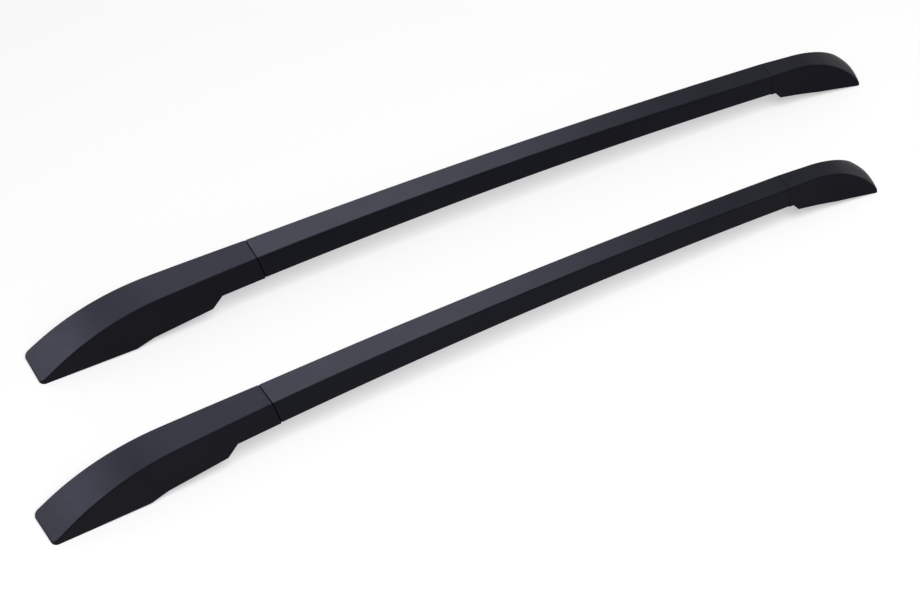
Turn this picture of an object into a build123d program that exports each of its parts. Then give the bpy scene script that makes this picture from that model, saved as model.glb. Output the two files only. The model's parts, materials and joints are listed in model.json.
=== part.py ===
from build123d import *
import os
from dataclasses import dataclass
from math import asin, atan2, cos, degrees, hypot, radians, sin, tan

# Driving dimensions, in millimetres and degrees.
# X runs along the rails from nose to tail, Y across them, Z up from the floor under the tips.

# The pair
rail_length = 1502.0
nose_track = 307.0
stagger = 118.0
toe_in = 1.45

# Bar: a hollow section with a flat top and leaning sides, bent to a long arch and slimmer at the rear
front_bar_width = 46.0
front_bar_height = 43.8
rear_bar_width = 36.6
rear_bar_height = 35.2
bar_foot_radius = 2.0
side_lean = 9.2
front_bar_top = 93.6
rear_bar_top = 76.2
bar_rise = 11.8

# Covers: moulded shells that continue the bar flush, with a rubber ring in each seam
wall = 2.5
crease_radius = 2.2
mouth_setback = 10.5
notch_radius = 2.5
corner_flat = 0.5
gasket_recess = 1.2
fit_clearance = 0.4

# Front foot, measured from the nose
front_seam = 382.0
front_seam_rake = 9.7
front_seam_gap = 2.2
front_brow = 109.0
front_brow_radius = 360.0
front_tip_lip = 4.6
front_tip_width = 72.0
front_tip_lean = 2.0
front_tip_corner_radius = 9.0
front_tip_run = 164.0
front_tip_angle = 1.4
front_step_run = 30.0
front_step_rise = 10.0
front_step_radius = 12.0
front_pad_run = 103.5
front_pad_angle = 7.8
front_toe_run = 16.5
front_toe_radius = 5.0
front_arm_start = 262.0
front_insert_spacing = 46.0
front_tongue_length = 62.0
front_base_width = 46.0

# Rear foot, measured from the tail
rear_seam = 170.0
rear_seam_rake = 0.7
rear_seam_gap = 0.8
rear_brow = 60.0
rear_brow_radius = 140.0
rear_tip_lip = 13.0
rear_tip_width = 66.0
rear_tip_lean = 17.0
rear_tip_corner_radius = 8.5
rear_tip_run = 82.0
rear_tip_angle = 9.2
rear_step_run = 10.0
rear_step_rise = 2.4
rear_step_radius = 8.0
rear_pad_run = 63.0
rear_pad_angle = 11.5
rear_toe_run = 7.0
rear_toe_radius = 3.0
rear_arm_start = 140.0
rear_insert_spacing = 30.0
rear_tongue_length = 34.0
rear_base_width = 42.0

# Brackets, pads and fasteners
spigot_length = 70.0
spigot_wall = 4.0
base_thickness = 8.0
base_corner_radius = 8.0
base_margin = 8.0
leg_width = 26.0
tongue_width = 38.0
tongue_thickness = 5.0
pad_thickness = 4.0
pad_proud = 0.8
pad_margin = 1.5
insert_bore = 6.8
insert_diameter = 11.0
insert_flange_diameter = 15.0
insert_flange_height = 1.5
insert_relief = 12.0
bar_screw_diameter = 5.0
bar_screw_head_diameter = 9.0
bar_screw_head_height = 2.6
bar_screw_spacing = 30.0
bar_screw_reach = 2.0
cover_screw_diameter = 4.0
cover_screw_head_diameter = 8.0
cover_screw_head_height = 2.4
cover_screw_length = 16.0
cover_screw_spacing = 22.0
cover_screw_margin = 8.0
cover_boss_wall = 2.8
hole_clearance = 0.2
screw_seat_gap = 0.05

# Overrun of cutting tools, half width of side view solids, and the steepest slope that counts as a top
past = 20.0
side_reach = 150.0
steepest_top = 75.0

# Derived sizes
spigot_inset = wall + fit_clearance
lean_tan = tan(radians(side_lean))
lean_cos = cos(radians(side_lean))

# The arch is the circle through the top of the bar at both seams and at its middle
rear_seam_x = rail_length - rear_seam
chord_x = rear_seam_x - front_seam
chord_z = rear_bar_top - front_bar_top
chord = hypot(chord_x, chord_z)
arch_radius = chord**2 / (8 * bar_rise) + bar_rise / 2
arch_drop = arch_radius - bar_rise
arch_x = (front_seam + rear_seam_x) / 2 + arch_drop * chord_z / chord
arch_z = (front_bar_top + rear_bar_top) / 2 - arch_drop * chord_x / chord
taper_angle = degrees(atan2(front_bar_height - rear_bar_height, chord_x))


@dataclass(frozen=True)
class Foot:
    """Sizes of one foot, measured inward from its own tip."""

    name: str
    inward: int
    seam: float
    seam_rake: float
    seam_gap: float
    brow: float
    brow_radius: float
    tip_lip: float
    tip_width: float
    tip_lean: float
    tip_corner_radius: float
    tip_run: float
    tip_angle: float
    step_run: float
    step_rise: float
    step_radius: float
    pad_run: float
    pad_angle: float
    toe_run: float
    toe_radius: float
    arm_start: float
    insert_spacing: float
    tongue_length: float
    base_width: float

    def x(self, run):
        """Place along the rail of a point this far in from the tip."""
        return run if self.inward > 0 else rail_length - run

    def at(self, run, height):
        """Point in the side view."""
        return (self.x(run), height)

    @property
    def step_low(self):
        return (self.tip_run, self.tip_run * tan(radians(self.tip_angle)))

    @property
    def step_high(self):
        return (self.step_low[0] + self.step_run, self.step_low[1] + self.step_rise)

    @property
    def toe(self):
        rise = self.pad_run * tan(radians(self.pad_angle))
        return (self.step_high[0] + self.pad_run, self.step_high[1] + rise)

    @property
    def notch(self):
        return self.toe[0] + self.toe_run

    @property
    def pad_length(self):
        return self.pad_run / cos(radians(self.pad_angle))

    @property
    def sole_plane(self):
        """Plane of the pad section of the sole: local X inward, local Z up out of the sole."""
        angle = radians(self.pad_angle)
        x, z = self.at(*self.step_high)
        x_dir = (self.inward * cos(angle), 0, sin(angle))
        z_dir = (-self.inward * sin(angle), 0, cos(angle))
        return Plane((x, 0, z), x_dir=x_dir, z_dir=z_dir)

    @property
    def insert_places(self):
        middle = self.pad_length / 2
        return [middle - self.insert_spacing / 2, middle + self.insert_spacing / 2]


front = Foot(
    "front", 1, front_seam, front_seam_rake, front_seam_gap, front_brow, front_brow_radius, front_tip_lip,
    front_tip_width, front_tip_lean, front_tip_corner_radius, front_tip_run, front_tip_angle, front_step_run,
    front_step_rise, front_step_radius, front_pad_run, front_pad_angle, front_toe_run, front_toe_radius,
    front_arm_start, front_insert_spacing, front_tongue_length, front_base_width,
)
rear = Foot(
    "rear", -1, rear_seam, rear_seam_rake, rear_seam_gap, rear_brow, rear_brow_radius, rear_tip_lip,
    rear_tip_width, rear_tip_lean, rear_tip_corner_radius, rear_tip_run, rear_tip_angle, rear_step_run,
    rear_step_rise, rear_step_radius, rear_pad_run, rear_pad_angle, rear_toe_run, rear_toe_radius,
    rear_arm_start, rear_insert_spacing, rear_tongue_length, rear_base_width,
)


def toward_rear(at_front, at_rear, x):
    """Size that changes evenly along the bar from the front seam to the rear seam."""
    return at_front + (at_rear - at_front) * (x - front_seam) / chord_x


def bar_height(x):
    """Height of the bar at a station."""
    return toward_rear(front_bar_height, rear_bar_height, x)


def arch_angle(x):
    """Angle of a station on the arch, from its crown."""
    return degrees(asin((x - arch_x) / arch_radius))


def arch_point(x, depth):
    """Side view point square below the top of the bar at a station."""
    angle = radians(arch_angle(x))
    radius = arch_radius - depth
    return (arch_x + radius * sin(angle), arch_z + radius * cos(angle))


def top_arc(x_start, x_end, inset):
    """Side view arc that runs along the bar, an inset below its top."""
    stations = (x_start, (x_start + x_end) / 2, x_end)
    return ThreePointArc(*[arch_point(x, inset) for x in stations])


def under_arc(x_start, x_end, inset):
    """Side view arc that runs along the bar, an inset above its underside."""
    stations = (x_start, (x_start + x_end) / 2, x_end)
    return ThreePointArc(*[arch_point(x, bar_height(x) - inset) for x in stations])


def bar_half_width(inset, x, height):
    """Half the width between the bar's leaning sides, drawn in by an inset."""
    at_front = front_bar_width / 2 + (front_bar_top - height) * lean_tan
    at_rear = rear_bar_width / 2 + (rear_bar_top - height) * lean_tan
    return toward_rear(at_front, at_rear, x) - inset / lean_cos


def between_walls(x_start, x_end, ceiling, half_width):
    """Tall solid between two side walls that run straight from one station to another."""
    ends = []
    for x in (x_start, x_end):
        low, high = half_width(x, -past), half_width(x, ceiling)
        outline = Polyline((-low, -past), (low, -past), (high, ceiling), (-high, ceiling), close=True)
        ends.append(Plane((x, 0, 0), x_dir=(0, 1, 0), z_dir=(1, 0, 0)) * make_face(outline))
    return loft(ends, ruled=True)


def side_solid(face):
    """Side view outline as a solid wider than the rail."""
    return extrude(Plane.XZ * face, side_reach, both=True)


def bar_block(x_start, x_end, inset):
    """Solid that follows the bar from one station to another, drawn in from its outside by an inset."""
    crown, underside = top_arc(x_start, x_end, inset), under_arc(x_start, x_end, inset)
    ends = [Line(crown @ place, underside @ place) for place in (0, 1)]
    ceiling = front_bar_top + bar_rise + past
    low_x, high_x = sorted((x_start, x_end))
    walls = between_walls(low_x - past, high_x + past, ceiling,
                          lambda x, height: bar_half_width(inset, x, height))
    return walls & side_solid(make_face([crown, underside, *ends]))


def seam_cut(foot, shift):
    """Raked line of a seam in the side view, this far inward of its middle, run past the bar at both ends."""
    low_x = foot.x(foot.seam + foot.seam_rake + shift)
    high = Vector(*arch_point(foot.x(foot.seam + shift), 0))
    low = Vector(*arch_point(low_x, bar_height(low_x)))
    overrun = (high - low).normalized() * (past + bar_rise)
    return [high + overrun, low - overrun]


def between_cuts(first, second):
    """Solid between two cut lines of the side view."""
    return side_solid(make_face(Polyline(*first, *reversed(second), close=True)))


def drilled(plane, places, diameter, low, high):
    """Cylinders square to a plane, between two heights over it."""
    seat = (Align.CENTER, Align.CENTER, Align.MIN)
    tool = plane.offset(low) * Cylinder(diameter / 2, high - low, align=seat)
    local = [plane.from_local_coords(Vector(x, y, 0)) - plane.origin for x, y in places]
    return Part() + [Pos(*move) * tool for move in local]


def screw_plane(foot, run):
    """Plane on the underside of the bar, square to it, with local Z pointing into the bar."""
    station = foot.x(run)
    x, z = arch_point(station, bar_height(station) + screw_seat_gap)
    angle = radians(arch_angle(station) - taper_angle)
    return Plane((x, 0, z), x_dir=(cos(angle), 0, -sin(angle)), z_dir=(sin(angle), 0, cos(angle)))


def bar_screw_planes(foot):
    """Seats of the two screws that hold a spigot in the bar."""
    first = foot.seam + (spigot_length - bar_screw_spacing) / 2
    return [screw_plane(foot, first), screw_plane(foot, first + bar_screw_spacing)]


def cover_screw_places(foot):
    """Places of the two cover screws on the tongue, on the sole plane."""
    run = base_margin - foot.tongue_length + cover_screw_margin
    return [(run, -cover_screw_spacing / 2), (run, cover_screw_spacing / 2)]


tongue_low = pad_thickness - pad_proud + base_thickness - tongue_thickness
tongue_high = tongue_low + tongue_thickness


def long_edges(block):
    """Edges that run the length of the bar, the lower ones first."""
    return block.edges().filter_by(lambda edge: edge.length > chord_x).sort_by(Axis.Z)


def make_bar():
    """Hollow bar between the two seams."""
    outside = bar_block(front_seam - past, rear_seam_x + past, 0)
    outside = fillet(long_edges(outside)[-2:], crease_radius)
    outside = fillet(long_edges(outside)[:2], bar_foot_radius)
    bar = outside - bar_block(front_seam - 2 * past, rear_seam_x + 2 * past, wall)
    bar &= between_cuts(seam_cut(front, front.seam_gap / 2), seam_cut(rear, rear.seam_gap / 2))
    for foot in (front, rear):
        for plane in bar_screw_planes(foot):
            bar -= drilled(plane, [(0, 0)], bar_screw_diameter + hole_clearance, -past, front_bar_height / 2)
    return bar


def cover_outline(foot):
    """Side view of a foot cover, from its tip to the seam."""
    end_high = foot.x(foot.seam - foot.seam_gap / 2)
    end_low = foot.x(foot.seam + foot.seam_rake - foot.seam_gap / 2)
    underside = under_arc(foot.x(foot.notch), end_low, 0)
    crown = top_arc(end_high, foot.x(foot.brow), 0)
    corners = {
        "tip": foot.at(0, 0),
        "step_low": foot.at(*foot.step_low),
        "step_high": foot.at(*foot.step_high),
        "toe": foot.at(*foot.toe),
        "notch": underside @ 0,
        "brow": crown @ 1,
        "lip": foot.at(0, foot.tip_lip),
    }
    sole = Polyline(*[corners[name] for name in ("tip", "step_low", "step_high", "toe", "notch")])
    slope = Polyline(*[corners[name] for name in ("brow", "lip", "tip")])
    face = make_face([*sole.edges(), underside, Line(underside @ 1, crown @ 0), crown, *slope.edges()])
    rounds = {
        "brow": foot.brow_radius,
        "step_low": foot.step_radius,
        "step_high": foot.step_radius,
        "toe": foot.toe_radius,
        "notch": notch_radius,
    }
    for name, radius in rounds.items():
        face = fillet(face.vertices().sort_by_distance(Vector(*corners[name]))[0], radius)
    return face


def room_outline(foot, inset):
    """Side view of the space inside a cover: parallel to its outside, open below and past the seam."""
    brow_x, brow_z = arch_point(foot.x(foot.brow), 0)
    slope = atan2(brow_z - foot.tip_lip, foot.brow)
    turn = slope - radians(abs(arch_angle(brow_x)))
    brow_station = foot.x(foot.brow + inset * tan(turn / 2))
    mouth_top = foot.tip_lip + mouth_setback * tan(slope) - inset / cos(slope)
    toe_run, toe_height = foot.toe
    notch_x = foot.x(foot.notch)
    notch_height = arch_point(notch_x, bar_height(notch_x))[1]
    toe_slope = atan2(notch_height - toe_height, foot.toe_run)
    toe_inset = inset / sin(toe_slope)
    notch_station = foot.x(foot.notch - toe_inset + inset / tan(toe_slope))
    end_station = foot.x(foot.seam + foot.seam_rake + past)
    underside = under_arc(notch_station, end_station, inset)
    crown = top_arc(end_station, brow_station, inset)
    edges = [
        *Polyline(
            crown @ 1,
            foot.at(mouth_setback, mouth_top),
            foot.at(mouth_setback, -past),
            foot.at(toe_run - toe_inset, -past),
            foot.at(toe_run - toe_inset, toe_height),
            underside @ 0,
        ).edges(),
        underside,
        Line(underside @ 1, crown @ 0),
        crown,
    ]
    face = make_face(edges)
    brow = face.vertices().sort_by_distance(crown @ 1)[0]
    return fillet(brow, foot.brow_radius - inset)


def foot_half_width(foot, inset, x, height):
    """Half the width between a foot's side walls, which run straight from its tip to the seam."""
    at_tip = foot.tip_width / 2 - inset - height * tan(radians(foot.tip_lean))
    at_seam = bar_half_width(inset, foot.x(foot.seam), height)
    return at_tip + (at_seam - at_tip) * (x - foot.x(0)) / (foot.x(foot.seam) - foot.x(0))


def foot_ceiling(foot):
    """Height just over the top of a foot's cover."""
    return arch_point(foot.x(foot.seam), -crease_radius)[1]


def foot_walls(foot, inset, start):
    """Tall solid between a foot's side walls, from this far in from its tip to past the seam."""
    end = foot.seam + foot.seam_rake + past
    return between_walls(foot.x(start), foot.x(end), foot_ceiling(foot),
                         lambda x, height: foot_half_width(foot, inset, x, height))


def foot_room(foot, clearance):
    """Space inside a cover, less a clearance."""
    inset = wall + clearance
    return foot_walls(foot, inset, -past) & side_solid(room_outline(foot, inset))


def crease_edges(foot, outside):
    """Edges between the top of a cover and its sides, and along the top of its lip."""
    tops = outside.faces().filter_by(lambda face: face.normal_at().Z > cos(radians(steepest_top)))
    edges = ShapeList(edge for face in tops for edge in face.edges())
    lengthwise = edges.filter_by(Axis.Y, reverse=True)
    tip_x = foot.x(0)
    lip = edges.filter_by(Axis.Y).filter_by_position(Axis.X, tip_x - crease_radius, tip_x + crease_radius)
    return lengthwise + lip


def make_cover(foot):
    """Moulded foot cover: rounded outside, hollow inside, with bosses for its screws."""
    block = foot_walls(foot, 0, 0)
    tip_face = block.faces().sort_by(Axis.X)[0 if foot.inward > 0 else -1]
    narrowest = foot_half_width(foot, 0, foot.x(0), foot_ceiling(foot)) - corner_flat
    corner_radius = min(foot.tip_corner_radius, narrowest)
    block = fillet(tip_face.edges().filter_by(Axis.Y, reverse=True), corner_radius)
    outside = block & side_solid(cover_outline(foot))
    outside = fillet(crease_edges(foot, outside), crease_radius)
    boss_diameter = cover_screw_diameter + 2 * cover_boss_wall
    bosses = drilled(foot.sole_plane, cover_screw_places(foot), boss_diameter, tongue_high, front_bar_top)
    pilots = drilled(foot.sole_plane, cover_screw_places(foot), cover_screw_diameter + hole_clearance,
                     tongue_high, tongue_low + cover_screw_length + cover_screw_diameter)
    return outside - foot_room(foot, 0) + (bosses & outside) - pilots


def make_bracket(foot):
    """Cast bracket: base on the pad, gusseted leg, and a cored spigot that plugs into the bar."""
    plane = foot.sole_plane
    low = pad_thickness - pad_proud
    spigot_end = foot.seam + spigot_length
    arm = bar_block(foot.x(foot.arm_start), foot.x(foot.seam), spigot_inset)
    spigot = bar_block(foot.x(foot.seam - spigot_wall), foot.x(spigot_end), spigot_inset)
    core = bar_block(foot.x(foot.seam), foot.x(spigot_end + past), spigot_inset + spigot_wall)
    base_length = foot.pad_length - 2 * base_margin
    base = plane.offset(low) * Pos(foot.pad_length / 2, 0) * extrude(
        RectangleRounded(base_length, foot.base_width, base_corner_radius), base_thickness)
    tongue_run = foot.tongue_length + base_margin
    tongue = plane.offset(tongue_low) * Pos(2 * base_margin - tongue_run / 2, 0) * extrude(
        RectangleRounded(tongue_run, tongue_width, base_corner_radius), tongue_thickness)
    notch_x, arm_x = foot.x(foot.notch), foot.x(foot.arm_start)
    arm_low = arch_point(notch_x, bar_height(notch_x) - spigot_inset - spigot_wall / 2)
    arm_end = arch_point(arm_x, bar_height(arm_x) - spigot_inset - spigot_wall / 2)
    arm_top = arch_point(arm_x, spigot_inset + spigot_wall)
    base_start = plane.from_local_coords((base_margin + base_thickness, 0, low + base_thickness / 2))
    base_end = plane.from_local_coords((foot.pad_length - base_margin, 0, low + base_thickness / 2))
    leg_face = make_face(Polyline(
        (base_start.X, base_start.Z), (base_end.X, base_end.Z), arm_low, arm_end, arm_top, close=True))
    leg = extrude(Plane.XZ * leg_face, leg_width / 2, both=True)
    bracket = spigot + ((base + tongue + leg + arm) & foot_room(foot, fit_clearance)) - core
    seats = [(run, 0) for run in foot.insert_places]
    seat_top = low + base_thickness + insert_relief
    bracket -= drilled(plane, seats, insert_diameter + hole_clearance, 0, seat_top)
    bracket -= drilled(plane, cover_screw_places(foot), cover_screw_diameter + hole_clearance, 0, tongue_high)
    for screw in bar_screw_planes(foot):
        bracket -= drilled(screw, [(0, 0)], bar_screw_diameter + hole_clearance, 0, front_bar_height / 2)
    return bracket


def make_pad(foot):
    """Rubber pad under a bracket, with clear holes at the inserts."""
    plane = foot.sole_plane
    length, width = foot.pad_length - 2 * base_margin, foot.base_width + 2 * pad_margin
    pad = plane.offset(-pad_proud) * Pos(foot.pad_length / 2, 0) * extrude(
        RectangleRounded(length, width, base_corner_radius), pad_thickness)
    seats = [(run, 0) for run in foot.insert_places]
    return pad - drilled(plane, seats, insert_flange_diameter + 2 * fit_clearance, -past, past)


def make_inserts(foot):
    """Threaded steel inserts in a bracket, with their flanges under the base."""
    plane = foot.sole_plane
    seats = [(run, 0) for run in foot.insert_places]
    seat = pad_thickness - pad_proud
    inserts = drilled(plane, seats, insert_diameter, seat, seat + base_thickness)
    inserts += drilled(plane, seats, insert_flange_diameter, seat - insert_flange_height, seat)
    return inserts - drilled(plane, seats, insert_bore, -past, front_bar_top)


def make_bar_screws(foot):
    """Screws up through the underside of the bar into the spigot."""
    screws = Part()
    reach = spigot_inset + spigot_wall + bar_screw_reach
    for plane in bar_screw_planes(foot):
        screws += drilled(plane, [(0, 0)], bar_screw_head_diameter, -bar_screw_head_height, 0)
        screws += drilled(plane, [(0, 0)], bar_screw_diameter, 0, reach)
    return screws


def make_cover_screws(foot):
    """Screws up through the tongue into the bosses of a cover."""
    plane, places = foot.sole_plane, cover_screw_places(foot)
    head_low = tongue_low - cover_screw_head_height
    heads = drilled(plane, places, cover_screw_head_diameter, head_low, tongue_low)
    return heads + drilled(plane, places, cover_screw_diameter, tongue_low, tongue_low + cover_screw_length)


def make_seam_gasket(foot):
    """Rubber ring in a seam, round the spigot and just below the bar's surface."""
    start, end = foot.x(foot.seam - past), foot.x(foot.seam + foot.seam_rake + past)
    ring = bar_block(start, end, gasket_recess) - bar_block(start, end, wall)
    return ring & between_cuts(seam_cut(foot, -foot.seam_gap / 2), seam_cut(foot, foot.seam_gap / 2))


# One rail, with its nose at X = 0 and its middle plane at Y = 0
rail = {"bar": make_bar()}
for foot in (front, rear):
    rail[f"{foot.name}_cover"] = make_cover(foot)
    rail[f"{foot.name}_bracket"] = make_bracket(foot)
    rail[f"{foot.name}_pad"] = make_pad(foot)
    rail[f"{foot.name}_inserts"] = make_inserts(foot)
    rail[f"{foot.name}_bar_screws"] = make_bar_screws(foot)
    rail[f"{foot.name}_cover_screws"] = make_cover_screws(foot)
    rail[f"{foot.name}_seam_gasket"] = make_seam_gasket(foot)

# The pair lies staggered, with the left rail ahead, and closes toward the tails as a roof does
places = {
    "left": Pos(-stagger, -nose_track / 2) * Rot(Z=toe_in),
    "right": Pos(0, nose_track / 2) * Rot(Z=-toe_in),
}
pair = {f"{side}_{name}": place * piece for side, place in places.items() for name, piece in rail.items()}
middle = Compound(list(pair.values())).bounding_box().center()

os.makedirs("parts", exist_ok=True)
for name, piece in pair.items():
    export_step(Pos(-middle.X, -middle.Y) * piece, f"parts/{name}.step")
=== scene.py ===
"""A pair of roof side rails, dressed and lit on a pale studio floor."""
import json
import logging
import math
from collections.abc import Callable
from dataclasses import dataclass
from enum import Enum

import bpy
from mathutils import Matrix, Vector


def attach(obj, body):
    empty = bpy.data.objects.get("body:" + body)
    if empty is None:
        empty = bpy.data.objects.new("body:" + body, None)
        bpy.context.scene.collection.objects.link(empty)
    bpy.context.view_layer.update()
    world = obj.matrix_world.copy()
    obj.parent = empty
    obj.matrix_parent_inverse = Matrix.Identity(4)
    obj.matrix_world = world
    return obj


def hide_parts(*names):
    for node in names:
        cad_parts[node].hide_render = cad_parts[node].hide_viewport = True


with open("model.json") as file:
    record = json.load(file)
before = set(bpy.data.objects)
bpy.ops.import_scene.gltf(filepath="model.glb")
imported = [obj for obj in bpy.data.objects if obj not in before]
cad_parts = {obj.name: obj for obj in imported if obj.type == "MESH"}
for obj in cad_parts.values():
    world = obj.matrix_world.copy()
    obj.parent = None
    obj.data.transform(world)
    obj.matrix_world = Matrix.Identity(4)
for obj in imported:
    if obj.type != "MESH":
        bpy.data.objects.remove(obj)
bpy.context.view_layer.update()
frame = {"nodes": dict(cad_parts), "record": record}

ROOT_BODY = "root"
ALONG = Vector((1.0, 0.0, 0.0))
ACROSS = Vector((0.0, 1.0, 0.0))
UP = Vector((0.0, 0.0, 1.0))
WHITE = (1.0, 1.0, 1.0, 1.0)
MOTTLE_STOPS = (0.3, 0.7)  # where a mottled colour leaves its dark end and reaches its light one
MERGE_DISTANCE = 0.00001
SAME_CORNER_DECIMALS = 6
ABOUT, SQUARELY = 0.9, 0.99  # least share of a face's normal along the way that it looks
Colour = tuple[float, float, float]
Point = tuple[float, float, float]
FaceTest = Callable[[Vector, Vector], bool]
Piece = bpy.types.Object
Socket = bpy.types.NodeSocket
log = logging.getLogger("roof_side_rails")


class Side(Enum):
    """The two rails of the pair, as seen by the driver."""

    LEFT = "left"
    RIGHT = "right"


class Foot(Enum):
    """The two feet of one rail."""

    FRONT = "front"
    REAR = "rear"


class Slot(Enum):
    """The finishes that the pieces wear, by the record's names for them."""

    BAR_COAT = "bar_coat"
    COVER_PLASTIC = "cover_plastic"
    BRACKET_METAL = "bracket_metal"
    RUBBER = "rubber"
    STEEL = "steel"


@dataclass(frozen=True)
class Clouds:
    """A cloudy pattern: its clouds per metre and how many finer layers lie in it."""

    scale: float
    detail: float


class NodeSheet:
    """The node tree of a material or of the surround, laid out one node at a time."""

    def __init__(self, owner: bpy.types.Material | bpy.types.World, output: str) -> None:
        """Start an empty tree that holds only its output.

        Args:
            owner: The material or world that the tree belongs to.
            output: The type name of its output node.
        """
        self.owner = owner
        owner.use_nodes = True
        self.tree = owner.node_tree
        self.tree.nodes.clear()
        self.output = self.tree.nodes.new(output)

    @classmethod
    def of_material(cls, name: str) -> "NodeSheet":
        """Start a new material of this name."""
        return cls(bpy.data.materials.new(name), "ShaderNodeOutputMaterial")

    def fill(self, socket: Socket, value: object) -> None:
        """Link a socket to another one, or set it to a constant.

        Args:
            socket: The input socket.
            value: An output socket or the constant.
        """
        if isinstance(value, Socket):
            self.tree.links.new(value, socket)
        else:
            socket.default_value = value

    def add(self, kind: str, **sockets: object) -> bpy.types.Node:
        """Add a node and fill its input sockets by name.

        Args:
            kind: The node's type name.
            sockets: Values or output sockets, by input name with underscores for spaces.

        Returns:
            The new node.
        """
        node = self.tree.nodes.new(kind)
        for name, value in sockets.items():
            self.fill(node.inputs[name.replace("_", " ")], value)
        return node

    def combine(self, kind: str, *values: object) -> Socket:
        """Add a node and fill its input sockets in their order.

        Args:
            kind: The node's type name.
            values: Values or output sockets, the first for the first input.

        Returns:
            The node's first output.
        """
        node = self.tree.nodes.new(kind)
        for socket, value in zip(node.inputs, values):
            self.fill(socket, value)
        return node.outputs[0]

    def place(self) -> Socket:
        """Read the place on the part, in its own coordinates."""
        return self.add("ShaderNodeTexCoord").outputs["Object"]

    def noise(self, clouds: Clouds) -> Socket:
        """Add a cloudy pattern."""
        sizes = {"Scale": clouds.scale, "Detail": clouds.detail}
        return self.add("ShaderNodeTexNoise", Vector=self.place(), **sizes).outputs["Fac"]

    def cells(self, scale: float) -> Socket:
        """Add a pattern of small rounded cells, so many to the metre."""
        node = self.add("ShaderNodeTexVoronoi", Vector=self.place(), Scale=scale)
        return node.outputs["Distance"]

    def mottle(self, clouds: Clouds, dark: Colour, light: Colour) -> Socket:
        """Let a colour vary in clouds.

        Args:
            clouds: The pattern.
            dark: The colour in its hollows.
            light: The colour on its crests.

        Returns:
            The colour.
        """
        node = self.add("ShaderNodeValToRGB", Fac=self.noise(clouds))
        for stop, place, colour in zip(node.color_ramp.elements, MOTTLE_STOPS, (dark, light)):
            stop.position = place
            stop.color = (*colour, 1.0)
        return node.outputs["Color"]

    def spread(self, clouds: Clouds, low: float, high: float) -> Socket:
        """Let a value vary in clouds between two limits."""
        node = self.add("ShaderNodeMapRange", Value=self.noise(clouds), To_Min=low, To_Max=high)
        return node.outputs["Result"]

    def bump(self, height: Socket, depth: float, strength: float) -> Socket:
        """Raise a pattern from the surface by a depth in metres, at some strength."""
        node = self.add("ShaderNodeBump", Height=height, Distance=depth, Strength=strength)
        return node.outputs["Normal"]

    def surface(self, shader: Socket) -> bpy.types.Material | bpy.types.World:
        """Put the shader on the output and hand over what the tree belongs to."""
        self.tree.links.new(shader, self.output.inputs["Surface"])
        return self.owner


@dataclass(frozen=True)
class Finish:
    """A surface of mottled colour and uneven gloss, which every finish starts from."""

    slot: Slot
    dark: Colour
    light: Colour
    mottle: Clouds
    smooth: float
    rough: float
    gloss: Clouds

    def details(self, sheet: NodeSheet) -> dict[str, object]:
        """Lay out what sets this finish apart, by the shader's inputs."""
        raise NotImplementedError

    def material(self) -> bpy.types.Material:
        """Lay out the finish's nodes.

        Returns:
            The material.
        """
        sheet = NodeSheet.of_material(self.slot.value)
        shader = sheet.add(
            "ShaderNodeBsdfPrincipled",
            Base_Color=sheet.mottle(self.mottle, self.dark, self.light),
            Roughness=sheet.spread(self.gloss, self.smooth, self.rough),
            **self.details(sheet),
        )
        return sheet.surface(shader.outputs["BSDF"])


@dataclass(frozen=True)
class SatinCoat(Finish):
    """Baked black coat on the drawn aluminium bar, with its faint orange peel."""

    slot: Slot = Slot.BAR_COAT
    dark: Colour = (0.0035, 0.0037, 0.0053)
    light: Colour = (0.0047, 0.0050, 0.0070)
    mottle: Clouds = Clouds(14.0, 3.0)
    smooth: float = 0.29
    rough: float = 0.37
    gloss: Clouds = Clouds(60.0, 4.0)
    specular: float = 0.077
    tint: Colour = (0.63, 0.68, 1.0)
    peel: Clouds = Clouds(900.0, 2.0)
    peel_depth: float = 0.00004
    peel_strength: float = 0.5

    def details(self, sheet: NodeSheet) -> dict[str, object]:
        """Lay out the coat's tinted gloss and its peel.

        Args:
            sheet: The node tree to add to.

        Returns:
            Values and sockets, by the shader's inputs.
        """
        peel = sheet.bump(sheet.noise(self.peel), self.peel_depth, self.peel_strength)
        tint = (*self.tint, 1.0)
        return {"Specular_IOR_Level": self.specular, "Specular_Tint": tint, "Normal": peel}


@dataclass(frozen=True)
class GrainedPlastic(Finish):
    """Moulded black plastic with a fine eroded grain."""

    slot: Slot = Slot.COVER_PLASTIC
    dark: Colour = (0.0034, 0.0035, 0.0049)
    light: Colour = (0.0046, 0.0047, 0.0066)
    mottle: Clouds = Clouds(20.0, 4.0)
    smooth: float = 0.40
    rough: float = 0.50
    gloss: Clouds = Clouds(90.0, 3.0)
    specular: float = 0.074
    tint: Colour = (0.64, 0.67, 1.0)
    grain_scale: float = 1500.0
    grain_depth: float = 0.00005
    grain_strength: float = 0.5

    def details(self, sheet: NodeSheet) -> dict[str, object]:
        """Lay out the plastic's tinted gloss and its grain.

        Args:
            sheet: The node tree to add to.

        Returns:
            Values and sockets, by the shader's inputs.
        """
        grain = sheet.bump(sheet.cells(self.grain_scale), self.grain_depth, self.grain_strength)
        tint = (*self.tint, 1.0)
        return {"Specular_IOR_Level": self.specular, "Specular_Tint": tint, "Normal": grain}


@dataclass(frozen=True)
class CastAluminium(Finish):
    """Raw cast aluminium of the brackets, dull with a sandy skin."""

    slot: Slot = Slot.BRACKET_METAL
    dark: Colour = (0.30, 0.31, 0.32)
    light: Colour = (0.44, 0.45, 0.46)
    mottle: Clouds = Clouds(40.0, 5.0)
    smooth: float = 0.45
    rough: float = 0.65
    gloss: Clouds = Clouds(700.0, 4.0)
    metallic: float = 1.0
    sand_depth: float = 0.00012
    sand_strength: float = 0.6

    def details(self, sheet: NodeSheet) -> dict[str, object]:
        """Lay out the metal and its sand, by the shader's inputs."""
        sand = sheet.bump(sheet.noise(self.gloss), self.sand_depth, self.sand_strength)
        return {"Metallic": self.metallic, "Normal": sand}


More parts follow.
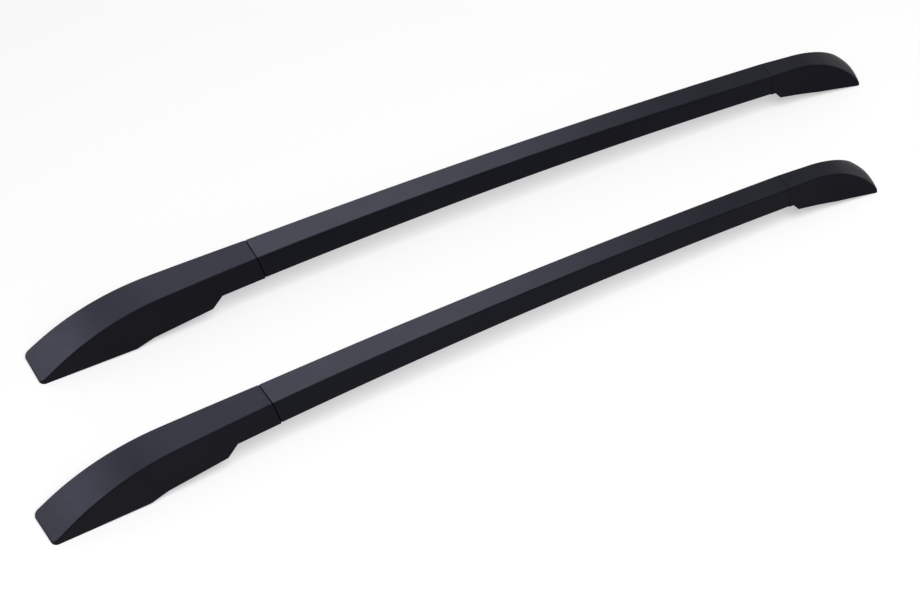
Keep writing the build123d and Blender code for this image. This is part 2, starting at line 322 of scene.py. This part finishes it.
@dataclass(frozen=True)
class MouldedRubber(Finish):
    """Black moulded rubber of the pads and seam gaskets."""

    slot: Slot = Slot.RUBBER
    dark: Colour = (0.0022, 0.0022, 0.0025)
    light: Colour = (0.0042, 0.0042, 0.0046)
    mottle: Clouds = Clouds(60.0, 4.0)
    smooth: float = 0.74
    rough: float = 0.88
    gloss: Clouds = Clouds(500.0, 3.0)
    specular: float = 0.02
    skin_depth: float = 0.00006
    skin_strength: float = 0.5

    def details(self, sheet: NodeSheet) -> dict[str, object]:
        """Lay out the rubber's dull skin, by the shader's inputs."""
        skin = sheet.bump(sheet.noise(self.gloss), self.skin_depth, self.skin_strength)
        return {"Specular_IOR_Level": self.specular, "Normal": skin}


@dataclass(frozen=True)
class ZincSteel(Finish):
    """Zinc-plated steel of the screws and inserts."""

    slot: Slot = Slot.STEEL
    dark: Colour = (0.42, 0.42, 0.40)
    light: Colour = (0.60, 0.60, 0.57)
    mottle: Clouds = Clouds(160.0, 4.0)
    smooth: float = 0.28
    rough: float = 0.42
    gloss: Clouds = Clouds(900.0, 3.0)
    metallic: float = 1.0

    def details(self, sheet: NodeSheet) -> dict[str, object]:
        """Say that the plating is metal, by the shader's inputs."""
        return {"Metallic": self.metallic}


class Finishes:
    """Every finish of the rails, made once and shared by the pieces that wear it."""

    def __init__(self) -> None:
        """Make the five materials."""
        finishes = (SatinCoat(), GrainedPlastic(), CastAluminium(), MouldedRubber(), ZincSteel())
        self.by_slot = {finish.slot: finish.material() for finish in finishes}

    def dress_node(self, name: str, slot: Slot) -> None:
        """Put a finish on a CAD node.

        Args:
            name: The node's name.
            slot: The finish.
        """
        for place in frame["nodes"][name].material_slots:
            place.material = self.by_slot[slot]
        log.info("%s wears %s", name, slot.value)

    def dress_piece(self, piece: Piece, node: str, slot: Slot) -> None:
        """Put a finish on a modelled piece that stands in a node's place.

        Args:
            piece: The finished piece.
            node: The node that it replaces.
            slot: The finish.
        """
        piece.data.materials.clear()
        piece.data.materials.append(self.by_slot[slot])
        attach(piece, ROOT_BODY)
        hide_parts(node)
        log.info("%s stands for %s in %s", piece.name, node, slot.value)


@dataclass(frozen=True)
class Seat:
    """Where a fastener sits: the middle of its seating face and the way its shank points."""

    place: Vector
    axis: Vector

    def matrix(self) -> Matrix:
        """Turn and move a shape from the origin's upright axis onto this seat."""
        turn = UP.rotation_difference(self.axis).to_matrix().to_4x4()
        return Matrix.Translation(self.place) @ turn


class Bench:
    """The modelling bench, on which one mesh at a time is shaped in edit mode."""

    @staticmethod
    def take(piece: Piece) -> None:
        """Make a piece the active one and the only one selected.

        Args:
            piece: The piece.
        """
        bpy.ops.object.select_all(action="DESELECT")
        bpy.context.view_layer.objects.active = piece
        piece.select_set(True)

    @staticmethod
    def disc(name: str, sides: int, radius: float, low: float, high: float) -> Piece:
        """Start a round piece that stands on the origin's axis.

        Args:
            name: The piece's name.
            sides: Sides of its outline.
            radius: Its radius.
            low: Its lower end.
            high: Its upper end.

        Returns:
            The new object, which is the only one selected.
        """
        bpy.ops.object.select_all(action="DESELECT")
        middle = (0.0, 0.0, (low + high) / 2)
        bpy.ops.mesh.primitive_cylinder_add(
            vertices=sides, radius=radius, depth=high - low, location=middle)
        piece = bpy.context.object
        piece.name = piece.data.name = name
        bpy.ops.object.transform_apply(location=True, rotation=True, scale=True)
        return piece

    @staticmethod
    def copy_node(node: str, name: str) -> Piece:
        """Lay a merged copy of a node's mesh on the bench, in edit mode with all of it selected.

        Args:
            node: The node to copy.
            name: The copy's name.

        Returns:
            The copy.
        """
        mesh = frame["nodes"][node].data.copy()
        mesh.name = name
        piece = bpy.data.objects.new(name, mesh)
        bpy.context.scene.collection.objects.link(piece)
        Bench.take(piece)
        if mesh.has_custom_normals:
            bpy.ops.mesh.customdata_custom_splitnormals_clear()
        bpy.ops.object.mode_set(mode="EDIT")
        bpy.ops.mesh.select_all(action="SELECT")
        bpy.ops.mesh.remove_doubles(threshold=MERGE_DISTANCE)
        return piece

    @staticmethod
    def slice_across(along: Vector, places: list[float]) -> None:
        """Cut the mesh on the bench across a direction, leaving it whole.

        Args:
            along: The direction.
            places: Where the cuts lie on it.
        """
        for place in places:
            bpy.ops.mesh.select_all(action="SELECT")
            bpy.ops.mesh.bisect(plane_co=along * place, plane_no=along)

    @staticmethod
    def looking(way: Vector, share: float = ABOUT) -> FaceTest:
        """Make a test for faces whose normal goes along a direction by more than a share."""
        return lambda middle, normal: normal.dot(way) > share

    @staticmethod
    def pick_faces(piece: Piece, test: FaceTest) -> None:
        """Select faces by their place and normal, and stay in edit mode.

        Args:
            piece: The object on the bench.
            test: Says whether a face with this middle and normal is meant.
        """
        bpy.ops.object.mode_set(mode="EDIT")
        bpy.ops.mesh.select_mode(type="FACE")
        bpy.ops.mesh.select_all(action="DESELECT")
        bpy.ops.object.mode_set(mode="OBJECT")
        for face in piece.data.polygons:
            face.select = test(face.center, face.normal)
        bpy.ops.object.mode_set(mode="EDIT")

    @staticmethod
    def draw_out(height: float, scale: float = 1.0) -> None:
        """Extrude the selected round face along the axis and widen or narrow its end.

        Args:
            height: How far it goes, up or down.
            scale: The end's size against the start's.
        """
        bpy.ops.mesh.extrude_region_move(TRANSFORM_OT_translate={"value": (0.0, 0.0, height)})
        if scale != 1.0:
            bpy.ops.transform.resize(value=(scale, scale, 1.0))

    @staticmethod
    def thread(turns: int, pitch: float, start_radius: float, other_radius: float) -> None:
        """Draw the selected face out into ridges as a thread has them.

        Args:
            turns: How many ridges there are.
            pitch: Their spacing, below 0 to go down.
            start_radius: The radius that the face starts and ends with.
            other_radius: The radius half a pitch on.
        """
        for _ in range(turns):
            Bench.draw_out(pitch / 2, other_radius / start_radius)
            Bench.draw_out(pitch / 2, start_radius / other_radius)

    @staticmethod
    def carve(piece: Piece, cutter: Piece) -> None:
        """Cut one closed shape out of another and put the cutter away.

        Args:
            piece: The shape that stays.
            cutter: The shape that is cut out of it.
        """
        Bench.take(piece)
        cut = piece.modifiers.new("recess", "BOOLEAN")
        cut.operation = "DIFFERENCE"
        cut.solver = "EXACT"
        cut.object = cutter
        bpy.ops.object.modifier_apply(modifier=cut.name)
        bpy.data.objects.remove(cutter, do_unlink=True)

    @staticmethod
    def smooth(piece: Piece, angle: float = 32.0) -> None:
        """Take the piece out of edit mode and shade it smooth wherever it bends gently.

        Args:
            piece: The object on the bench.
            angle: The bend in degrees from which an edge stays sharp.
        """
        bpy.ops.object.mode_set(mode="OBJECT")
        Bench.take(piece)
        bpy.ops.object.shade_smooth_by_angle(angle=math.radians(angle))

    @staticmethod
    def set_copies(pattern: Piece, seats: list[Seat], name: str) -> Piece:
        """Set a copy of a pattern on each seat and join the copies into one piece.

        Args:
            pattern: The shape modelled once at the origin.
            seats: Where the copies sit.
            name: The joined piece's name.

        Returns:
            The joined piece, with its place in its mesh.
        """
        bpy.ops.object.select_all(action="DESELECT")
        for seat in seats:
            copy = pattern.copy()
            copy.data = pattern.data.copy()
            copy.data.transform(seat.matrix())
            bpy.context.scene.collection.objects.link(copy)
            copy.select_set(True)
            bpy.context.view_layer.objects.active = copy
        bpy.ops.object.join()
        piece = bpy.context.object
        piece.name = piece.data.name = name
        return piece


class NodeRuler:
    """Reads the seats of two like fasteners off the solids that hold their place."""

    def __init__(self, node: str) -> None:
        """Collect the node's corners, each once.

        Args:
            node: The fasteners' node.
        """
        corners = {}
        for vertex in frame["nodes"][node].data.vertices:
            corners[tuple(round(c, SAME_CORNER_DECIMALS) for c in vertex.co)] = vertex.co.copy()
        self.points: list[Vector] = list(corners.values())

    @staticmethod
    def end_middle(points: list[Vector], way: Vector, slice_depth: float) -> Vector:
        """Find the middle of the face at one end.

        Args:
            points: The corners of one fastener.
            way: The direction of that end.
            slice_depth: How thick a slice of corners counts.

        Returns:
            The middle of the slice's corners.
        """
        reach = max(point.dot(way) for point in points)
        near = [point for point in points if point.dot(way) > reach - slice_depth]
        return sum(near, Vector()) / len(near)

    def seats(self, apart: Vector, lead: Vector, head_height: float) -> list[Seat]:
        """Find both seats.

        Args:
            apart: The direction in which the two lie apart.
            lead: About the way that their shanks point.
            head_height: Height of the head or flange under the seating face.

        Returns:
            The two seats.
        """
        reaches = [point.dot(apart) for point in self.points]
        middle = (min(reaches) + max(reaches)) / 2
        found = []
        for keep in (-1.0, 1.0):
            half = [point for point in self.points if (point.dot(apart) - middle) * keep > 0.0]
            base = self.end_middle(half, -lead, head_height / 2)
            tip = self.end_middle(half, lead, head_height / 2)
            axis = (tip - base).normalized()
            found.append(Seat(base + axis * head_height, axis))
        return found


@dataclass(frozen=True)
class Screw:
    """Domed head on a threaded shank, which both kinds of screw start from."""

    name: str
    sides: int
    head_radius: float
    head_height: float
    dome: float
    dome_steps: int
    shank_radius: float
    root_radius: float
    pitch: float
    turns: int

    def head_and_shank(self) -> Piece:
        """Model the screw without its recess, seating face at the origin and shank upright.

        Returns:
            The screw in edit mode, with the end of its shank selected.
        """
        piece = Bench.disc(self.name, self.sides, self.head_radius, -self.head_height, 0.0)
        Bench.pick_faces(piece, Bench.looking(-UP))
        bpy.ops.mesh.bevel(offset=self.dome, segments=self.dome_steps, affect="EDGES")
        Bench.pick_faces(piece, Bench.looking(UP))
        bpy.ops.mesh.inset(thickness=self.head_radius - self.shank_radius)
        Bench.thread(self.turns, self.pitch, self.shank_radius, self.root_radius)
        return piece

    def recess(self, name: str, sides: int, radius: float, depth: float) -> Piece:
        """Start the cutter of a recess in the top of the head.

        Args:
            name: The cutter's name.
            sides: Sides of its outline.
            radius: Its radius.
            depth: How deep it reaches into the head.

        Returns:
            The cutter, which stands as far out of the head.
        """
        bpy.ops.object.mode_set(mode="OBJECT")
        return Bench.disc(name, sides, radius, -self.head_height - depth, -self.head_height + depth)


@dataclass(frozen=True)
class BarScrew(Screw):
    """Round-headed screw with a six-sided socket, which holds a spigot in the bar."""

    name: str = "bar_screw"
    sides: int = 48
    head_radius: float = 0.0045
    head_height: float = 0.0026
    dome: float = 0.0017
    dome_steps: int = 6
    shank_radius: float = 0.0025
    root_radius: float = 0.0021
    pitch: float = 0.0008
    turns: int = 11
    socket_sides: int = 6
    socket_radius: float = 0.0018
    socket_depth: float = 0.0015

    def pattern(self) -> Piece:
        """Model the screw at the origin.

        Returns:
            The screw.
        """
        piece = self.head_and_shank()
        socket = self.recess("socket", self.socket_sides, self.socket_radius, self.socket_depth)
        Bench.carve(piece, socket)
        Bench.smooth(piece)
        return piece


@dataclass(frozen=True)
class CoverScrew(Screw):
    """Pan-headed screw with a cross recess, which draws a cover down onto its bracket."""

    name: str = "cover_screw"
    sides: int = 40
    head_radius: float = 0.0040
    head_height: float = 0.0024
    dome: float = 0.0011
    dome_steps: int = 5
    shank_radius: float = 0.0020
    root_radius: float = 0.0015
    pitch: float = 0.0014
    turns: int = 9
    point_height: float = 0.0034
    point_scale: float = 0.35
    cross_reach: float = 0.0023
    cross_width: float = 0.0009
    cross_depth: float = 0.0015

    def pattern(self) -> Piece:
        """Model the screw at the origin.

        Returns:
            The screw.
        """
        piece = self.head_and_shank()
        Bench.draw_out(self.point_height, self.point_scale)
        # A four-sided disc of radius 1, turned to lie square, is spread to the size of each slot.
        half_side = math.sqrt(0.5)
        square = Matrix.Rotation(math.pi / 4, 4, "Z")
        spread = Matrix.Diagonal(
            (self.cross_reach / half_side, self.cross_width / 2 / half_side, 1.0, 1.0))
        for turn in (0.0, math.pi / 2):
            slot = self.recess("cross", 4, 1.0, self.cross_depth)
            slot.data.transform(Matrix.Rotation(turn, 4, "Z") @ spread @ square)
            Bench.carve(piece, slot)
        Bench.smooth(piece)
        return piece


@dataclass(frozen=True)
class ThreadedInsert:
    """Flanged steel insert in a bracket, threaded for a roof stud."""

    sides: int = 64
    flange_radius: float = 0.0075
    flange_height: float = 0.0015
    barrel_radius: float = 0.0055
    barrel_height: float = 0.0080
    bore_radius: float = 0.0034
    root_radius: float = 0.0040
    pitch: float = 0.00125
    turns: int = 7
    edge: float = 0.0004
    edge_steps: int = 3

    def pattern(self) -> Piece:
        """Model the insert with its flange under the origin and its barrel upright.

        Returns:
            The insert.
        """
        piece = Bench.disc("insert", self.sides, self.flange_radius, -self.flange_height, 0.0)
        Bench.pick_faces(piece, Bench.looking(-UP))
        bpy.ops.mesh.bevel(offset=self.edge, segments=self.edge_steps, affect="EDGES")
        Bench.pick_faces(piece, Bench.looking(-UP, SQUARELY))
        bpy.ops.mesh.inset(thickness=self.flange_radius - self.edge - self.root_radius)
        Bench.pick_faces(piece, Bench.looking(UP))
        bpy.ops.mesh.inset(thickness=self.flange_radius - self.barrel_radius)
        Bench.draw_out(self.barrel_height)
        bpy.ops.mesh.inset(thickness=self.barrel_radius - self.root_radius)
        lead_in = self.barrel_height + self.flange_height - self.turns * self.pitch
        Bench.draw_out(-lead_in / 2)
        Bench.thread(self.turns, -self.pitch, self.root_radius, self.bore_radius)
        self.open_bore(piece)
        Bench.smooth(piece)
        return piece

    def open_bore(self, piece: Piece) -> None:
        """Take out the two faces that close the bore and join their edges.

        Args:
            piece: The insert on the bench.
        """
        def closes_bore(middle: Vector, normal: Vector) -> bool:
            """Say whether a level face lies on the axis."""
            return abs(normal.z) > SQUARELY and middle.xy.length < self.root_radius / 2

        Bench.pick_faces(piece, closes_bore)
        bpy.ops.mesh.delete(type="ONLY_FACE")
        bpy.ops.mesh.select_mode(type="EDGE")
        bpy.ops.mesh.select_all(action="DESELECT")
        bpy.ops.mesh.select_non_manifold()
        bpy.ops.mesh.bridge_edge_loops()
        bpy.ops.mesh.select_all(action="SELECT")
        bpy.ops.mesh.normals_make_consistent(inside=False)


@dataclass(frozen=True)
class RibbedPad:
    """Rubber pad under a bracket, with shallow cross grooves between its ribs."""

    rib_spacing: float = 0.0058
    border: float = 0.0009
    groove_depth: float = 0.0009
    flat_angle: float = 1.0
    edge_angle: float = 20.0

    def build(self, node: str, down: Vector, name: str) -> Piece:
        """Groove a copy of the plain pad.

        Args:
            node: The pad's node.
            down: The way that its lower face looks.
            name: The finished piece's name.

        Returns:
            The ribbed pad.
        """
        piece = Bench.copy_node(node, name)
        bpy.ops.mesh.dissolve_limited(angle_limit=math.radians(self.flat_angle))
        along = (ALONG - down * ALONG.dot(down)).normalized()
        reaches = [vertex.co.dot(along) for vertex in frame["nodes"][node].data.vertices]
        start, end = min(reaches), max(reaches)
        strips = 2 * int((end - start) / self.rib_spacing / 2) + 1
        step = (end - start) / strips
        Bench.slice_across(along, [start + cut * step for cut in range(1, strips)])

        def grooved(middle: Vector, normal: Vector) -> bool:
            """Say whether a face lies on the sole in every second strip."""
            strip = int((middle.dot(along) - start) / step)
            return normal.dot(down) > SQUARELY and strip % 2 == 1

        Bench.pick_faces(piece, grooved)
        bpy.ops.mesh.inset(thickness=self.border, use_boundary=True)
        bpy.ops.transform.translate(value=-down * self.groove_depth)
        Bench.smooth(piece, self.edge_angle)
        return piece


@dataclass(frozen=True)
class CentreLine:
    """The middle line of one rail, seen from above."""

    start: Vector
    along: Vector

    @classmethod
    def of_rail(cls, side: Side) -> "CentreLine":
        """Draw the line through the rail's outermost stud holes.

        Args:
            side: The rail.

        Returns:
            The line, from the nose to the tail.
        """
        places = {mount["name"]: Vector(mount["pos_m"]) for mount in frame["record"]["mounts"]}
        nose, tail = (places[f"{side.value}_{foot.value}_outer_stud_hole"] for foot in Foot)
        way = tail - nose
        return cls(nose, Vector((way.x, way.y, 0.0)).normalized())

    @property
    def across(self) -> Vector:
        """The level direction square to the line."""
        return UP.cross(self.along)

    def offset(self, place: Vector) -> float:
        """Measure how far to the side of the line a place lies."""
        return (place - self.start).dot(self.across)


@dataclass(frozen=True)
class RoundedTail:
    """Rear cover whose top rounds over in one long sweep to a low, bowed tip."""

    sweep: float = 0.120
    fall: float = 0.0715
    fullness: float = 0.75
    tip_height: float = 0.0016
    sole_slope: float = 0.162
    sole_run: float = 0.082
    tip_half_width: float = 0.0330
    tip_lean: float = 0.3057
    seam_half_width: float = 0.0306
    seam_lean: float = 0.162
    seam_run: float = 0.170
    plain_corner: float = 0.0085
    corner: float = 0.0035
    flare: float = 0.0035
    bow: float = 0.0018
    dome: float = 0.0090
    dome_run: float = 0.050
    stations: tuple[float, ...] = (
        0.0005, 0.0012, 0.0022, 0.0035, 0.0050, 0.0066, 0.0085, 0.011, 0.014, 0.017, 0.021, 0.025,
        0.030, 0.035, 0.040, 0.046, 0.052, 0.059, 0.066, 0.073, 0.081, 0.089, 0.097, 0.105, 0.113,
        0.120)
    lanes: tuple[float, ...] = (0.0, 0.0045, 0.009, 0.0135, 0.018, 0.0225)
    ring_depth: float = 0.0001
    edge_angle: float = 34.0

    def crown(self, run: float, start: float) -> float:
        """Find the height of the rounded top's edge.

        Args:
            run: Distance in from the tip.
            start: Height of the top where the sweep starts.

        Returns:
            The height there.
        """
        line = start - self.fall * (self.sweep - run)
        drop = start - self.fall * self.sweep - self.tip_height
        ahead = min(max((self.sweep - run) / self.sweep, 0.0), 1.0)
        return line - drop * (1.0 - (1.0 - ahead**2) ** self.fullness)

    def half_width(self, run: float, height: float) -> float:
        """Find how far the leaning wall stands from the middle line.

        Args:
            run: Distance in from the tip.
            height: Height above the ground.

        Returns:
            The half width there.
        """
        at_tip = self.tip_half_width - height * self.tip_lean
        at_seam = self.seam_half_width - height * self.seam_lean
        return at_tip + (at_seam - at_tip) * run / self.seam_run

    @staticmethod
    def corner_cut(run: float, radius: float) -> float:
        """Find how much a rounded corner of the tip takes off the half width."""
        inward = max(radius - run, 0.0)
        return radius - math.sqrt(radius**2 - inward**2)

    @staticmethod
    def between(run: float, heights: list[tuple[float, float]]) -> float:
        """Read a height between two stations.

        Args:
            run: Distance in from the tip.
            heights: Stations with their heights, in order.

        Returns:
            The height there.
        """
        for (low, low_height), (high, high_height) in zip(heights, heights[1:]):
            if run <= high:
                return low_height + (high_height - low_height) * (run - low) / (high - low)
        return heights[-1][1]

    def reshape(self, place: Vector, run: float, plain_top: float, start: float,
                line: CentreLine) -> Vector:
        """Move one corner of the plain cover onto the rounded one.

        Args:
            place: The corner.
            run: Its distance in from the tip.
            plain_top: Height of the plain top at that distance.
            start: Height of the top where the sweep starts.
            line: The middle line of the rail.

        Returns:
            The corner's new place.
        """
        top = self.crown(run, start)
        sole = min(run, self.sole_run) * self.sole_slope
        share = max((place.z - sole) / (plain_top - sole), 0.0)
        height = place.z + (top - plain_top) * share
        plain_wall = self.half_width(run, place.z)
        offset = line.offset(place)
        flare = self.flare * (1.0 - run / self.sweep)
        wall = self.half_width(run, height) + flare - self.corner_cut(run, self.corner)
        aside = offset * wall / (plain_wall - self.corner_cut(run, self.plain_corner))
        near_tip = max(1.0 - run / self.dome_run, 0.0)
        edge = min(abs(aside) / (self.half_width(run, top) + flare), 1.0)
        height += self.dome * near_tip**2 * share * (1.0 - edge**2)
        back = self.bow * near_tip * (aside / self.tip_half_width) ** 2
        moved = place + line.across * (aside - offset) - line.along * back
        moved.z = height
        return moved

    def build(self, node: str, name: str, line: CentreLine) -> Piece:
        """Round the tail of a copy of the cover.

        Args:
            node: The cover's node.
            name: The finished piece's name.
            line: The middle line of its rail.

        Returns:
            The rounded cover.
        """
        tip = max(vertex.co.dot(line.along) for vertex in frame["nodes"][node].data.vertices)
        middle = line.start.dot(line.across)
        lanes = [middle + way * lane for lane in self.lanes for way in (-1.0, 1.0)]
        piece = Bench.copy_node(node, name)
        Bench.slice_across(line.along, [tip - run for run in self.stations])
        Bench.slice_across(line.across, lanes)
        bpy.ops.object.mode_set(mode="OBJECT")
        corners = [(vertex, tip - vertex.co.dot(line.along)) for vertex in piece.data.vertices]
        heights = []
        for station in (0.0, *self.stations):
            ring = [vertex.co.z for vertex, run in corners if abs(run - station) < self.ring_depth]
            heights.append((station, max(ring)))
        start = heights[-1][1]
        for vertex, reach in corners:
            run = max(reach, 0.0)
            if run < self.sweep:
                plain_top = self.between(run, heights)
                vertex.co = self.reshape(vertex.co, run, plain_top, start, line)
        Bench.smooth(piece, self.edge_angle)
        return piece


@dataclass
class FastenerBox:
    """The patterns of the fasteners, each modelled once."""

    bar_screw: Piece
    cover_screw: Piece
    insert: Piece

    @classmethod
    def filled(cls) -> "FastenerBox":
        """Model the three patterns."""
        return cls(BarScrew().pattern(), CoverScrew().pattern(), ThreadedInsert().pattern())

    def put_away(self) -> None:
        """Take the patterns off the bench once every copy is set."""
        for pattern in (self.bar_screw, self.cover_screw, self.insert):
            bpy.data.objects.remove(pattern, do_unlink=True)


@dataclass
class RailFoot:
    """One foot of a rail: its dressed solids, ribbed pad and fasteners."""

    side: Side
    foot: Foot
    finishes: Finishes
    fasteners: FastenerBox

    def node(self, piece: str) -> str:
        """Name one of the foot's nodes."""
        return f"{self.side.value}_{self.foot.value}_{piece}"

    def down(self) -> Vector:
        """Find the way that the foot's sole looks."""
        axes = {mount["name"]: mount["axis"] for mount in frame["record"]["mounts"]}
        return Vector(axes[self.node("pad_face")]).normalized()

    def dress(self) -> None:
        """Dress the solids, then set the modelled pieces in place of theirs."""
        self.finishes.dress_node(self.node("cover"), Slot.COVER_PLASTIC)
        self.finishes.dress_node(self.node("bracket"), Slot.BRACKET_METAL)
        self.finishes.dress_node(self.node("seam_gasket"), Slot.RUBBER)
        if self.foot is Foot.REAR:
            self.set_tail()
        self.set_pad()
        self.set_fasteners()

    def set_tail(self) -> None:
        """Set the rounded tail in place of the plain rear cover."""
        node = self.node("cover")
        cover = RoundedTail().build(node, f"{node}_rounded", CentreLine.of_rail(self.side))
        self.finishes.dress_piece(cover, node, Slot.COVER_PLASTIC)

    def set_pad(self) -> None:
        """Set the ribbed pad in place of the plain one."""
        node = self.node("pad")
        pad = RibbedPad().build(node, self.down(), f"{node}_ribbed")
        self.finishes.dress_piece(pad, node, Slot.RUBBER)

    def set_fasteners(self) -> None:
        """Set screws and inserts with their threads in place of the plain ones."""
        box, into = self.fasteners, -self.down()
        rows = {
            "bar_screws": (box.bar_screw, ALONG, UP, BarScrew.head_height),
            "cover_screws": (box.cover_screw, ACROSS, into, CoverScrew.head_height),
            "inserts": (box.insert, ALONG, into, ThreadedInsert.flange_height),
        }
        for kind, (pattern, apart, lead, head_height) in rows.items():
            node = self.node(kind)
            seats = NodeRuler(node).seats(apart, lead, head_height)
            piece = Bench.set_copies(pattern, seats, f"{node}_threaded")
            self.finishes.dress_piece(piece, node, Slot.STEEL)


@dataclass
class Rail:
    """One rail of the pair: its bar and its two feet."""

    side: Side
    finishes: Finishes
    fasteners: FastenerBox

    def dress(self) -> None:
        """Dress the bar and both feet."""
        self.finishes.dress_node(f"{self.side.value}_bar", Slot.BAR_COAT)
        for foot in Foot:
            RailFoot(self.side, foot, self.finishes, self.fasteners).dress()


def hang(device: bpy.types.Light | bpy.types.Camera, place: Vector, aim: Vector) -> Piece:
    """Hang a lamp or a camera at a place, pointed at its aim.

    Args:
        device: The lamp or camera.
        place: Where it hangs.
        aim: The point that it looks at.

    Returns:
        The object that holds it.
    """
    holder = bpy.data.objects.new(device.name, device)
    holder.location = place
    holder.rotation_euler = (aim - place).to_track_quat("-Z", "Y").to_euler()
    bpy.context.scene.collection.objects.link(holder)
    return holder


@dataclass(frozen=True)
class SoftLamp:
    """A rectangular soft lamp: its place, its aim, its width and height, and its watts."""

    name: str
    place: Point
    aim: Point
    size: tuple[float, float]
    power: float
    lights_floor: bool

    def hang(self) -> Piece:
        """Make the lamp and hang it.

        Returns:
            The object that holds it.
        """
        lamp = bpy.data.lights.new(self.name, "AREA")
        lamp.shape = "RECTANGLE"
        lamp.size, lamp.size_y = self.size
        lamp.energy = self.power
        return hang(lamp, Vector(self.place), Vector(self.aim))


@dataclass
class Studio:
    """The pale floor, the white surround and the soft lamps."""

    floor_size: float = 14.0
    floor_shade: float = 0.62
    floor_glow: float = 0.43
    surround_fill: float = 0.38
    surround_white: float = 1.0
    lamps: tuple[SoftLamp, ...] = (
        SoftLamp("overhead", (-0.05, -1.9, 4.0), (-0.05, 0.0, 0.0), (2.7, 2.7), 142.0, True),
        SoftLamp("back", (0.3, 1.75, 2.2), (-0.1, 0.0, 0.1), (2.1, 1.3), 90.0, False),
        SoftLamp("nose", (-2.1, 1.55, 1.55), (-0.75, 0.0, 0.05), (1.5, 1.6), 126.0, False),
    )

    def build(self) -> None:
        """Lay the floor, set the surround and hang the lamps."""
        flagged = self.flag(self.lay_floor())
        self.set_surround()
        for lamp in self.lamps:
            holder = lamp.hang()
            if not lamp.lights_floor:
                holder.light_linking.receiver_collection = flagged

    @staticmethod
    def flag(floor: Piece) -> bpy.types.Collection:
        """Set up the flag that keeps a lamp's light off the floor.

        Args:
            floor: The floor.

        Returns:
            The collection that such a lamp gets as its receivers.
        """
        flagged = bpy.data.collections.new("flagged_floor")
        flagged.objects.link(floor)
        flagged.collection_objects[0].light_linking.link_state = "EXCLUDE"
        return flagged

    @staticmethod
    def seen_rays(sheet: NodeSheet) -> Socket:
        """Tell the rays that see the white ground from those that carry its light.

        Args:
            sheet: The node tree to add to.

        Returns:
            A socket that is 1 for camera, glossy and transmission rays.
        """
        path = sheet.add("ShaderNodeLightPath")
        seen = path.outputs["Is Camera Ray"]
        for name in ("Is Glossy Ray", "Is Transmission Ray"):
            seen = sheet.combine("ShaderNodeMath", seen, path.outputs[name])
            seen.node.operation = "MAXIMUM"
        return seen

    def lay_floor(self) -> Piece:
        """Lay a wide floor that shows white and keeps the rails' shadow.

        Returns:
            The floor, which is clear from below.
        """
        bpy.ops.object.select_all(action="DESELECT")
        bpy.ops.mesh.primitive_plane_add(size=self.floor_size)
        floor = bpy.context.object
        floor.name = "studio_floor"
        sheet = NodeSheet.of_material("studio_floor")
        shade = (*(self.floor_shade,) * 3, 1.0)
        lit = sheet.add("ShaderNodeBsdfDiffuse", Color=shade).outputs["BSDF"]
        glow = sheet.add("ShaderNodeEmission", Strength=self.floor_glow).outputs["Emission"]
        white = sheet.combine("ShaderNodeAddShader", lit, glow)
        seen = sheet.combine("ShaderNodeMixShader", self.seen_rays(sheet), lit, white)
        below = sheet.add("ShaderNodeNewGeometry").outputs["Backfacing"]
        clear = sheet.add("ShaderNodeBsdfTransparent").outputs["BSDF"]
        one_sided = sheet.combine("ShaderNodeMixShader", below, seen, clear)
        floor.data.materials.append(sheet.surface(one_sided))
        return floor

    def set_surround(self) -> None:
        """Surround the rails with white that lights them softly."""
        world = bpy.data.worlds.new("studio_surround")
        bpy.context.scene.world = world
        sheet = NodeSheet(world, "ShaderNodeOutputWorld")
        fill, white = (
            sheet.add("ShaderNodeBackground", Color=WHITE, Strength=strength).outputs["Background"]
            for strength in (self.surround_fill, self.surround_white))
        sheet.surface(sheet.combine("ShaderNodeMixShader", self.seen_rays(sheet), fill, white))


@dataclass
class Viewpoint:
    """The camera, long-lensed and looking down on the pair from its front left."""

    azimuth: float = -28.75
    elevation: float = 46.56
    distance: float = 5.516
    aim: Point = (-0.0375, -0.0476, 0.0)
    lens: float = 135.3
    sensor: float = 36.0

    def build(self) -> None:
        """Set the camera and the plain view transform."""
        turn, rise = math.radians(self.azimuth), math.radians(self.elevation)
        level = math.cos(rise)
        back = Vector((math.sin(turn) * level, -math.cos(turn) * level, math.sin(rise)))
        camera = bpy.data.cameras.new("viewpoint")
        camera.lens = self.lens
        camera.sensor_width = self.sensor
        camera.sensor_fit = "HORIZONTAL"
        aim = Vector(self.aim)
        bpy.context.scene.camera = hang(camera, aim + back * self.distance, aim)
        bpy.context.scene.view_settings.view_transform = "Standard"


def main() -> None:
    """Dress both rails, then set the studio and the camera."""
    logging.basicConfig(level=logging.INFO, format="%(name)s: %(message)s")
    finishes = Finishes()
    fasteners = FastenerBox.filled()
    for side in Side:
        Rail(side, finishes, fasteners).dress()
    fasteners.put_away()
    Studio().build()
    Viewpoint().build()


if __name__ == "__main__":
    main()
